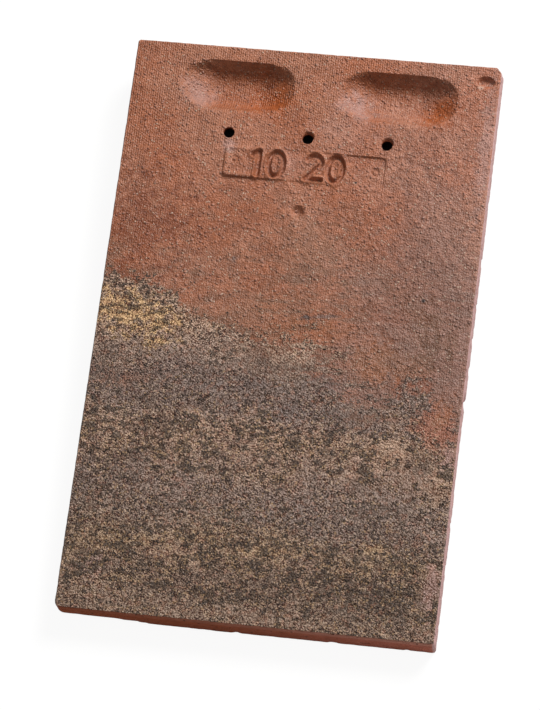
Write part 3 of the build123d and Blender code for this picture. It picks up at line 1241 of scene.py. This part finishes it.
def makeWeatherFace():
    material, shader, place = startMaterial("sandedClay", 0.36, 0.36)
    fields = makeFaceNoise(place["Point"])
    findSand(place, fields)
    clay = paintClay(place, fields)
    colour = blendColour(fields["sanded"], clay, paintSand(place, fields))
    colour = layPatches(fields, colour)
    colour = scatterCrumbs(fields, colour)
    colour = toneGrains(fields, colour)
    colour = scatterGrains(fields, colour)
    plug(shader.inputs["Base Color"], colour)
    plug(shader.inputs["Roughness"], clayToSand(fields, faceRoughness))
    raiseSurface(shader, faceHeight(place, fields))
    return material


# Cut walls

wallColours = {
    "core": (0.245, 0.060, 0.023),
    "rosy": (0.390, 0.122, 0.080),
    "upper": (0.500, 0.270, 0.210),
    # pink is the paler cut clay of the right wall together with painted light on it
    "pink": (0.470, 0.290, 0.277),
    # dark is painted shade for the pits
    "dark": (0.060, 0.026, 0.018),
}
wallPaint = {
    "grain": {"Contrast": 0.45, "Depth": 0.16},
    "blotch": (7, 4, 0.6, 3),
    "drag": (0.8, 3, 0.6),
    "dragStretch": (0.12, 0.12, 1.0),
    "rosyAcross": (-30, 84),
    "rosyWander": 1.2,
    "upperOut": (-3.0, -0.8),
    "upperAcross": (-80, 80, 0.10, 0.50),
    "pinkAcross": (81.0, 82.0),
    "pinkFringe": (80, 81),
    "dragTone": (0.3, 0.7, 0.86, 1.14),  # of the marks that the cutting wire drags along the walls
    "dragHeight": 0.20,
    "pitSize": 1.5,
    "pitCover": (-6, -13, 0.08, 0.26),
    "pitStrength": 0.6,
    "pitHeight": -0.35,
}


def makeCutClay():
    material, shader, place = startMaterial("cutClay", 0.85, 0.12)
    point, across, out = place["Point"], place["Across"], place["Out"]
    grain = useGroup(clayGrainGroup, {"Point": point, **wallPaint["grain"]})
    drag = clouds(stretched(point, 0, wallPaint["dragStretch"]), *wallPaint["drag"])
    pitCover = spread(out, *wallPaint["pitCover"])
    pits = useGroup(grainGroup, {"Point": point, "Size": wallPaint["pitSize"], "Density": pitCover})
    wander = around(clouds(point, *wallPaint["blotch"]), wallPaint["rosyWander"])
    rosiness = total(spread(across, *wallPaint["rosyAcross"]), wander)
    nearFace = product(spread(out, *wallPaint["upperOut"]), spread(across, *wallPaint["upperAcross"]))
    # The right wall is painted pale pink: paler cut clay together with painted light where the wall faces the
    # lamp
    fringe = product(spread(across, *wallPaint["pinkFringe"]), wander)
    pinkness = total(spread(across, *wallPaint["pinkAcross"]), fringe)
    colour = blendColour(rosiness, wallColours["core"], wallColours["rosy"])
    colour = blendColour(nearFace, colour, wallColours["upper"])
    colour = blendColour(pinkness, colour, wallColours["pink"])
    colour = shade(colour, product(grain["Tone"], spread(drag, *wallPaint["dragTone"])))
    # Painted shade: the pits are painted dark where they sink into the wall
    pitted = product(pits["Mask"], wallPaint["pitStrength"])
    colour = blendColour(pitted, colour, wallColours["dark"])
    plug(shader.inputs["Base Color"], colour)
    sunk = product(pits["Height"], wallPaint["pitHeight"])
    raiseSurface(shader, total(grain["Height"], sunk, around(drag, wallPaint["dragHeight"])))
    return material


# Underside, nibs and the walls of the nail holes

underClay = {
    "clay": (0.300, 0.115, 0.072),
    "dust": (0.380, 0.215, 0.165),
    "grain": {"Contrast": 0.35, "Depth": 0.12},
    "blotch": (14, 5, 0.6),
    "dusty": (0.42, 0.68, 0.0, 0.6),
    "sandSize": 1.1,
    "sandCover": 0.25,
    "sandStrength": 0.3,
    "sandHeight": 0.12,
}
# From the rim's clay to near black with depth: painted shade in the holes
holeColours = {"rim": (0.300, 0.085, 0.042), "deep": (0.012, 0.006, 0.005)}
holeDarkening = (-0.6, -2.6)  # mm out of the face


def makeUnderClay():
    material, shader, place = startMaterial("underClay", 0.75, 0.4)
    point = place["Point"]
    grain = useGroup(clayGrainGroup, {"Point": point, **underClay["grain"]})
    sand = useGroup(grainGroup, {
        "Point": point, "Size": underClay["sandSize"], "Density": underClay["sandCover"]})
    dusty = spread(clouds(point, *underClay["blotch"]), *underClay["dusty"])
    colour = shade(blendColour(dusty, underClay["clay"], underClay["dust"]), grain["Tone"])
    sandy = product(sand["Mask"], underClay["sandStrength"])
    colour = blendColour(sandy, colour, underClay["dust"])
    plug(shader.inputs["Base Color"], colour)
    raiseSurface(shader, total(grain["Height"], product(sand["Height"], underClay["sandHeight"])))
    return material


def makeHoleClay():
    # Painted shade: the holes' walls are painted darker with depth, standing in for the shade inside them
    material, shader, place = startMaterial("holeClay", 0.95, 0.05)
    grain = useGroup(clayGrainGroup, {"Point": place["Point"], **underClay["grain"]})
    depth = spread(place["Out"], *holeDarkening)
    colour = blendColour(depth, holeColours["rim"], holeColours["deep"])
    plug(shader.inputs["Base Color"], colour)
    raiseSurface(shader, grain["Height"])
    return material


# In the order of surfaces
for material in (makeWeatherFace(), makeCutClay(), makeUnderClay(), makeHoleClay()):
    clayTile.data.materials.append(material)
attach(clayTile, "root")
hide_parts("roof_tile")
print("materials made")

# Floor and light

studio = {
    "floorSize": 6.0,
    "floorColour": (0.80, 0.80, 0.80, 1),
    "floorRough": 0.9,
    "whiteShare": 0.87,  # of what the camera sees of the floor
    "keyPlace": (0.75, 1.20, 1.18),
    "keySize": 0.75,
    "keyPower": 44.0,
    "sky": 0.30,
    "skyColour": (1.0, 0.94, 0.88, 1),
    "white": 1.06,
}


def makeFloorMaterial():
    # The camera sees a floor that is nearly white, with the tile's shadow; all else sees plain pale paint
    material = bpy.data.materials.new("paleFloor")
    material.use_nodes = True
    tree = material.node_tree
    painted = tree.nodes["Principled BSDF"]
    painted.inputs["Base Color"].default_value = studio["floorColour"]
    painted.inputs["Roughness"].default_value = studio["floorRough"]
    white = addNode(tree, "Emission", {"Color": (1, 1, 1, 1), "Strength": studio["white"]})
    rays = addNode(tree, "LightPath").outputs
    kinds = ("Is Camera Ray", "Is Glossy Ray", "Is Transmission Ray")
    seen = combine("MAXIMUM", [rays[kind] for kind in kinds])
    mixed = addNode(tree, "MixShader", {0: product(seen, studio["whiteShare"])})
    plug(mixed.inputs[1], painted.outputs[0])
    plug(mixed.inputs[2], white.outputs[0])
    plug(tree.nodes["Material Output"].inputs["Surface"], mixed.outputs[0])
    return material


def makeStudio():
    bm = bmesh.new()
    bmesh.ops.create_grid(bm, x_segments=1, y_segments=1, size=studio["floorSize"] / 2)
    mesh = bpy.data.meshes.new("floor")
    bm.to_mesh(mesh)
    bm.free()
    floor = bpy.data.objects.new("floor", mesh)
    bpy.context.scene.collection.objects.link(floor)
    mesh.materials.append(makeFloorMaterial())
    light = bpy.data.lights.new("keyLight", "AREA")
    light.size = studio["keySize"]
    light.energy = studio["keyPower"]
    lamp = bpy.data.objects.new("keyLight", light)
    lamp.location = studio["keyPlace"]
    lamp.rotation_euler = (-Vector(studio["keyPlace"])).to_track_quat("-Z", "Y").to_euler()
    bpy.context.scene.collection.objects.link(lamp)
    world = bpy.data.worlds.new("studioSky")
    world.use_nodes = True
    light = world.node_tree.nodes["Background"].inputs
    light["Color"].default_value = studio["skyColour"]
    light["Strength"].default_value = studio["sky"]
    bpy.context.scene.world = world
    bpy.context.scene.view_settings.view_transform = "Standard"


makeStudio()
print("studio lit")
